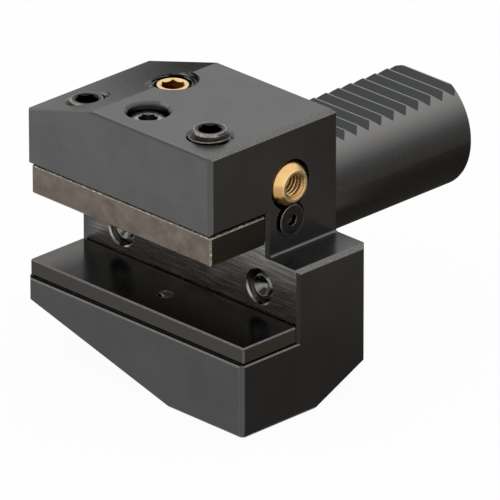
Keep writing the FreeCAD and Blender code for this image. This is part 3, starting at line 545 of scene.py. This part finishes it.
def makeMetal(name, look):  # the optional parts are drawn only where the look names them
    material, tree = newMaterial(name)
    place = addNode(tree, "TexCoord")
    where = place.outputs["Object"]
    colour = mottled(tree, where, look["patch"], look["dark"], look["light"])
    grain = patches(tree, where, look["grain"], 2, look.get("stretch", (1, 1, 1)))
    if "side" in look:  # the upright sides of a plate
        upright = spread(tree, steepness(tree, place)["Z"], 0.3, 0.2)
        colour = blendOver(tree, colour, upright, look["side"])
    if "end" in look:  # the ground ends of a screw, lighter than its thread, or one end of a plate
        end = facing(tree, place, look.get("endNormal", up))
        colour = blendOver(tree, colour, end, look["end"])
    if "socket" in look:  # painted shade below the rim of an upright socket
        inside = spreadMm(tree, coordinate(tree, where, "Z"), look["socketShadeTop"], look["socketShadeTop"] - 0.3)
        colour = blendOver(tree, colour, inside, look["socket"])
    if "low" in look:  # painted shade: browner towards the bottom
        lowerShade = spreadMm(tree, coordinate(tree, where, "Z"), look["lowFrom"], look["lowTo"], 0.0, 0.85)
        colour = blendOver(tree, colour, lowerShade, look["low"])
    for centre, inner, outer, rim in look.get("rimHighlights", ()):  # painted highlights on rims
        speckled = spread(tree, patches(tree, where, 0.7, 3), 0.35, 0.6, 0.45, 1.0)
        colour = blendOver(tree, colour, times(tree, ring(tree, where, centre, inner, outer), speckled), rim)
    if "corner" in look:  # chamfered edges of a plate, speckled, and another tone along its top, which for the bar is a painted shadow of the gap above it
        steep = steepness(tree, place)
        largest = either(tree, steep["X"], steep["Y"], steep["Z"])
        broken = spread(tree, patches(tree, where, 1.2, 3), 0.35, 0.6, 0.4, 1)
        corner = times(tree, spread(tree, largest, 0.9, 0.8), broken)
        colour = blendOver(tree, colour, corner, look["corner"])
        speck = spread(tree, patches(tree, where, 0.5, 3), 0.54, 0.62)
        colour = blendOver(tree, colour, times(tree, corner, speck), look["cornerSpeck"])
        topEdge = spreadMm(tree, coordinate(tree, where, "Z"), look["top"] - 0.25, look["top"] - 0.2)
        colour = blendOver(tree, colour, times(tree, corner, topEdge), look["topCorner"])
    # rubbed edges, with a painted highlight along them
    colour = blendOver(tree, colour, wornEdgesAndHighlights(tree, where, look), look["bareAndHighlight"])
    rough = unevenRough(tree, grain, look)
    if "topShade" in look:  # painted shade over most of the plate's top, which is also made duller than the bare metal
        film = times(tree, facing(tree, place, up),
                     spreadMm(tree, coordinate(tree, where, "X"), *look["topShadeFade"]))
        colour = blendOver(tree, colour, film, look["topShade"])
        rough = addNode(tree, "Math", {"operation": "ADD"},
                        {0: rough, 1: scaled(tree, film, look["topShadeRough"])}).outputs[0]
    metalSurface(tree, colour, rough, grain, look["bump"])
    return material


# black oxide on milled and ground tool steel: satin near-black film, brighter at the corners, where it is
# rubbed and where a highlight is painted.
# The slope's colour darkens towards the back, with a coarse mottle, the slot's back wall has milling lines,
# and the ground shank is smoother and warmer.
holderLook = {"film": "#595959", "filmLight": "#5F5F60", "patch": 9, "grain": 0.35, "rough": 0.26,
              "uneven": 0.03, "bump": 0.15, "slope": "#383734", "slopeGrain": 0.9, "slopeFade": (-40, -12),
              "rail": "#6A6966", "railSpeck": "#817F7A", "wall": "#6F6C69", "wallLines": "#A8A5A0",
              "wallPitch": 0.36, "wallStretch": 0.04, "gapShade": "#0C0B0A", "shank": "#82817F",
              "toothFlankShade": "#464748", "bareAndHighlight": "#918F8A", "edge": 0.22, "wearAndHighlight": 0.4, "line": "#747577",
              "cornerHighlight": 0.3, "lineShade": "#4E4F50", "neck": "#3A3938", "counterbore": "#464646",
              "flare": "#8E9094", "stopMouth": "#A7A39C"}
# the directions that the holder's faces look in
diagonal = 0.7071
holderFaces = {"front": (0, -1, 0), "rightTop": (diagonal, 0, diagonal),
               "rightUnder": (diagonal, 0, -diagonal), "frontTop": (0, -diagonal, diagonal),
               "upright": (diagonal, -diagonal, 0)}
toothFaces = ((0, 0.63, 0.777), (0, -0.66, 0.75))
# zones of the holder: an axis, where the zone begins and where it is full, in mm
holderZones = {"block": ("Y", 0.3, 0.1), "shank": ("Y", 0.1, 0.3), "frontFace": ("Y", -39.5, -39.6),
               "backWall": ("Y", -22.5, -22.2), "rightEnd": ("X", 23.8, 23.9), "lowerJaw": ("Z", 0, -1),
               "upperJaw": ("Z", 20, 21), "shade": ("Z", 26.8, 27.2), "cornerEdge": ("X", 34.22, 34.18),
               "middleFrom": ("X", 34.48, 34.52), "middleTo": ("X", 34.68, 34.64),
               "fore": ("Y", -38.5, -38.6), "neck": ("Y", -30.2, -30), "wallInward": ("X", -34, -26),
               "boreRim": ("Z", 27.58, 27.55), "flareLeft": ("X", -16.8, -17.6),
               "seatEnd": ("Z", -15, -16), "underPlate": ("Z", -20.42, -20.36),
               "plugRight": ("X", -13.5, -12), "belowTop": ("Z", 27.95, 27.9)}
# rings round a point, in mm
holderRings = {"stopLeft": ((-22.5, -22, -10), 4.0, 4.6), "stopRight": ((22.5, -22, -10), 4.0, 4.6),
               "counterbore": ((-4.2, -31, 27.6), 4.7, 5.8), "flare": ((-13, -14.6, 26.3), 5.0, 6.4)}
plugStep = {"centre": (-13, -14.6, 27.5), "from": 6.3, "to": 6.25}


def makeHolderFinish(look):
    material, tree = newMaterial("blackOxideToolSteel")
    place = addNode(tree, "TexCoord")
    where = place.outputs["Object"]
    split = addNode(tree, "SeparateXYZ", {}, {0: where})
    zone = {name: spreadMm(tree, split.outputs[axis], start, full)
            for name, (axis, start, full) in holderZones.items()}
    face = {name: facing(tree, place, direction) for name, direction in holderFaces.items()}
    ringed = {name: ring(tree, where, *ends) for name, ends in holderRings.items()}
    colour = mottled(tree, where, look["patch"], look["film"], look["filmLight"])
    grain = patches(tree, where, look["grain"], 2)
    # the slope: its colour darkens towards the back, with a coarse mottle
    slope = facing(tree, place, slopeUp, 0.985, 0.998)
    backwards = spreadMm(tree, split.outputs["Y"], *look["slopeFade"], 0.05, 1.0)
    mottle = spread(tree, patches(tree, where, look["slopeGrain"], 4), 0.3, 0.7, 0.55, 1.25)
    colour = blendOver(tree, colour, times(tree, slope, backwards, mottle), look["slope"])
    # chamfered rails: along the right-hand edges, the lower jaw's front, and under the upper jaw's right end
    rightEdges = times(tree, face["rightTop"], zone["rightEnd"])
    jawEdge = times(tree, face["frontTop"], zone["lowerJaw"])
    underEdge = times(tree, face["rightUnder"], zone["rightEnd"])
    rail = times(tree, either(tree, rightEdges, jawEdge, underEdge), zone["block"])
    colour = blendOver(tree, colour, rail, look["rail"])
    speck = spread(tree, patches(tree, where, 0.35, 3), 0.45, 0.65)
    colour = blendOver(tree, colour, times(tree, rail, speck), look["railSpeck"])
    # the upper front edge and the upright corner: painted highlight lines, with a painted shade under the
    # front one
    frontEdgeHighlight = times(tree, face["frontTop"], zone["upperJaw"])
    corner = times(tree, face["upright"], zone["block"])
    cornerHighlightLines = either(tree, zone["cornerEdge"], times(tree, zone["middleFrom"], zone["middleTo"]))
    lit = times(tree, corner, zone["fore"], scaled(tree, cornerHighlightLines, look["cornerHighlight"]))
    colour = blendOver(tree, colour, either(tree, frontEdgeHighlight, lit), look["line"])
    colour = blendOver(tree, colour, times(tree, corner, zone["neck"]), look["neck"])
    shade = times(tree, face["front"], zone["frontFace"], zone["shade"])
    colour = blendOver(tree, colour, shade, look["lineShade"])
    # milling lines along the slot's back wall
    lines = patches(tree, where, look["wallPitch"], 3, (look["wallStretch"], 1, 1))
    wall = times(tree, face["front"], zone["backWall"])
    colour = blendOver(tree, colour, times(tree, wall, zone["wallInward"]), look["wall"])
    streak = times(tree, zone["wallInward"], spread(tree, lines, 0.47, 0.6, 0.0, 0.8))
    colour = blendOver(tree, colour, times(tree, wall, streak), look["wallLines"])
    # countersinks: a painted highlight in the wall's countersinks, painted shade round the counterbore,
    # painted light where the plug's hole meets the slope
    notWall = spread(tree, wall, 1.0, 0.0)
    for stop in ("stopLeft", "stopRight"):
        colour = blendOver(tree, colour, times(tree, ringed[stop], notWall), look["stopMouth"])
    colour = blendOver(tree, colour, times(tree, ringed["counterbore"], zone["boreRim"]), look["counterbore"])
    colour = blendOver(tree, colour, times(tree, ringed["flare"], zone["flareLeft"]), look["flare"])
    # the shank, and painted shade on the flanks of its serration
    colour = blendOver(tree, colour, zone["shank"], look["shank"])
    flank = either(tree, *(facing(tree, place, direction, 0.9, 0.97) for direction in toothFaces))
    colour = blendOver(tree, colour, times(tree, flank, zone["shank"]), look["toothFlankShade"])
    # painted shade in the gap under the plate, and in the step round the plug
    gap = times(tree, either(tree, jawEdge, times(tree, rightEdges, zone["seatEnd"])), zone["underPlate"])
    colour = blendOver(tree, colour, gap, look["gapShade"])
    step = spreadMm(tree, distance(tree, where, plugStep["centre"]), plugStep["from"], plugStep["to"])
    step = times(tree, step, zone["plugRight"], zone["belowTop"])
    colour = blendOver(tree, colour, step, look["gapShade"])
    # rubbed edges, with a painted highlight along them
    colour = blendOver(tree, colour, wornEdgesAndHighlights(tree, where, look), look["bareAndHighlight"])
    height = addNode(tree, "MixRGB", {}, {"Fac": wall, "Color1": grain, "Color2": lines}).outputs[0]
    metalSurface(tree, colour, unevenRough(tree, grain, look), height, look["bump"])
    return material


barTop = max(vertex.co.z for vertex in nodes["clamp_bar"].data.vertices) / mm
plateTop = max(vertex.co.z for vertex in nodes["shim_plate"].data.vertices) / mm
# flame-blackened flat bar: brownish scale, rubbed bright along its edges with a painted highlight there too,
# fine scratches, and a painted shadow along the top of its chamfer
clampBarScale = {"dark": "#625A53", "light": "#7E746A", "bareAndHighlight": "#B8B0A4", "corner": "#8E8679",
                 "cornerSpeck": "#E2DED6", "topCorner": "#1C1A18", "top": barTop, "end": "#46433C",
                 "endNormal": (1, 0, 0), "patch": 4, "grain": 0.5, "rough": 0.34, "uneven": 0.08,
                 "bump": 0.3, "edge": 0.3, "wearAndHighlight": 0.9, "stretch": (0.3, 1, 1)}
# hardened screws, oiled black: dark threads, brown-grey ground ends, painted highlights on the rims
oiledScrew = {"dark": "#1E1C1A", "light": "#2C2926", "bareAndHighlight": "#8F8A80", "end": "#36332F", "patch": 2,
              "grain": 0.4, "rough": 0.24, "uneven": 0.06, "bump": 0.2, "edge": 0.2, "wearAndHighlight": 0.6,
              "rimHighlights": (((-24.2, -31, 24.85), 3.5, 3.95, "#96928A"),
                       ((-24.2, -31, 23.6), 4.85, 5.1, "#7A766F"),
                       ((15.8, -31, 29.85), 3.5, 3.95, "#A39E94"),
                       ((15.8, -31, 28.3), 4.85, 5.1, "#8E897F"))}
# phosphated cap screw, rubbed nearly bright, with a painted highlight round the top of its head
rubbedScrew = dict(oiledScrew, dark="#4A4846", light="#63605C", bareAndHighlight="#D6D2CA", end="#A6A4A0", edge=0.28,
                   wearAndHighlight=0.9, rimHighlights=(((-4.2, -31, 26.1), 3.5, 4.1, "#B4B1AA"),))
# countersunk screw, black, seen end on: a grey face with a painted highlight on its rim
blackScrew = dict(oiledScrew, end="#444443", endNormal=(1, 0, 0), bareAndHighlight="#B8B8B4", edge=0.28, wearAndHighlight=0.95,
                  rimHighlights=(((25.56, -14.6, 5.2), 3.5, 3.75, "#9C9C98"),))
# zinc-plated set screws: bright, cool grey
zincScrew = {"dark": "#6E6E6D", "light": "#8C8B89", "bareAndHighlight": "#D0CEC8", "patch": 2, "grain": 0.4,
             "rough": 0.2, "uneven": 0.05, "bump": 0.2, "edge": 0.2, "wearAndHighlight": 0.8}
# turned brass: pale warm yellow with fine turning marks, painted shade making it browner towards the bottom,
# and a painted highlight round its face
turnedBrass = {"dark": "#E9B973", "light": "#F4CD92", "bareAndHighlight": "#FBEBCB", "patch": 3, "grain": 0.3,
               "rough": 0.2, "uneven": 0.04, "bump": 0.08, "edge": 0.15, "wearAndHighlight": 0.6, "low": "#A5702F",
               "lowFrom": 15.5, "lowTo": 8.5, "rimHighlights": (((26.7, -14.6, 13.8), 3.15, 3.95, "#FADFA9"),)}
# the plug's socket has painted shade, much browner than its rubbed face
plugBrass = {"dark": "#ECC585", "light": "#F5D89E", "bareAndHighlight": "#FBEBCB", "patch": 3, "grain": 0.3,
             "rough": 0.2, "uneven": 0.05, "bump": 0.08, "edge": 0.15, "wearAndHighlight": 0.6, "socket": "#B4661C",
             "socketShadeTop": 26.5}
# ground and blackened support plate: smooth enough to mirror the jaw above it, its top darkened by painted
# shade
groundPlate = {"dark": "#484743", "light": "#4F4D49", "bareAndHighlight": "#8A8882", "corner": "#6C6A66",
               "cornerSpeck": "#7C7A75", "topCorner": "#6C6A66", "top": plateTop, "topShade": "#0A0908",
               "topShadeFade": (-31, -24), "topShadeRough": 0.14, "side": "#504E4B", "end": "#716E69",
               "endNormal": (1, 0, 0), "patch": 6, "grain": 0.4, "rough": 0.09, "uneven": 0.02,
               "bump": 0.04, "edge": 0.2, "wearAndHighlight": 0.7, "stretch": (0.2, 1, 1)}
# bare steel where a tap has cut
cutThread = {"dark": "#A09D98", "light": "#B4B1AB", "bareAndHighlight": "#E0DDD6", "patch": 1, "grain": 0.2,
             "rough": 0.22, "uneven": 0.05, "bump": 0.1, "edge": 0.15, "wearAndHighlight": 0.6}
# tapped thread in oiled steel
oiledThread = dict(cutThread, dark="#454442", light="#575552", bareAndHighlight="#A8A59E")
# patented spring wire: dull grey
springWire = {"dark": "#5C5A57", "light": "#706D68", "bareAndHighlight": "#9C9890", "patch": 1, "grain": 0.2,
              "rough": 0.3, "uneven": 0.05, "bump": 0.1, "edge": 0.1, "wearAndHighlight": 0.3}
# moulded nitrile rubber: matt black with a faint bloom
nitrile = {"dark": "#161616", "bloom": "#242323", "patch": 1.5, "grain": 0.2, "rough": (0.5, 0.65),
           "bump": 0.2, "ior": 1.5}


def makeRubber(name, look):
    material, tree = newMaterial(name)
    where = addNode(tree, "TexCoord").outputs["Object"]
    bloom = spread(tree, patches(tree, where, look["patch"], 3), 0.35, 0.7)
    colour = addNode(tree, "MixRGB", {"Color1": linear(look["dark"]), "Color2": linear(look["bloom"])},
                     {"Fac": bloom})
    grain = patches(tree, where, look["grain"], 2)
    rough = spread(tree, grain, 0.3, 0.7, *look["rough"])
    bump = addNode(tree, "Bump", {"Strength": look["bump"], "Distance": 0.01 * mm}, {"Height": grain})
    rubber = addNode(tree, "BsdfPrincipled", {"IOR": look["ior"]},
                     {"Base Color": colour.outputs[0], "Roughness": rough, "Normal": bump.outputs[0]})
    addNode(tree, "OutputMaterial", {}, {"Surface": rubber.outputs[0]})
    return material


def dress(material, *dressed):
    for piece in dressed:
        piece.data.materials.clear()
        piece.data.materials.append(material)


dress(makeHolderFinish(holderLook), nodes["holder_body"])
dress(makeMetal("oiledThreadSteel", oiledThread), innerThreads["clampHoleThread"],
      innerThreads["plugHoleThread"])
dress(makeMetal("flameBlackenedBar", clampBarScale), nodes["clamp_bar"])
dress(makeMetal("oiledScrewSteel", oiledScrew), screws["clampScrewLeft"], screws["clampScrewRight"])
dress(makeMetal("rubbedScrewSteel", rubbedScrew), screws["retainingScrew"], screws["shimScrew"])
dress(makeMetal("blackScrewSteel", blackScrew), screws["nozzleScrew"])
dress(makeMetal("zincPlatedScrewSteel", zincScrew), screws["stopScrewLeft"], screws["stopScrewRight"])
dress(makeMetal("turnedBrass", turnedBrass), nozzleBall)
dress(makeMetal("plugBrass", plugBrass), screws["coolantPlug"])
dress(makeMetal("groundPlateSteel", groundPlate), nodes["shim_plate"])
dress(makeMetal("freshCutThreadSteel", cutThread), innerThreads["shimHoleThread"])
dress(makeMetal("springWireSteel", springWire), returnSpring)
dress(makeRubber("mouldedNitrile", nitrile), nodes["nozzle_seal"], nodes["shank_seal"])
print("finishes done")
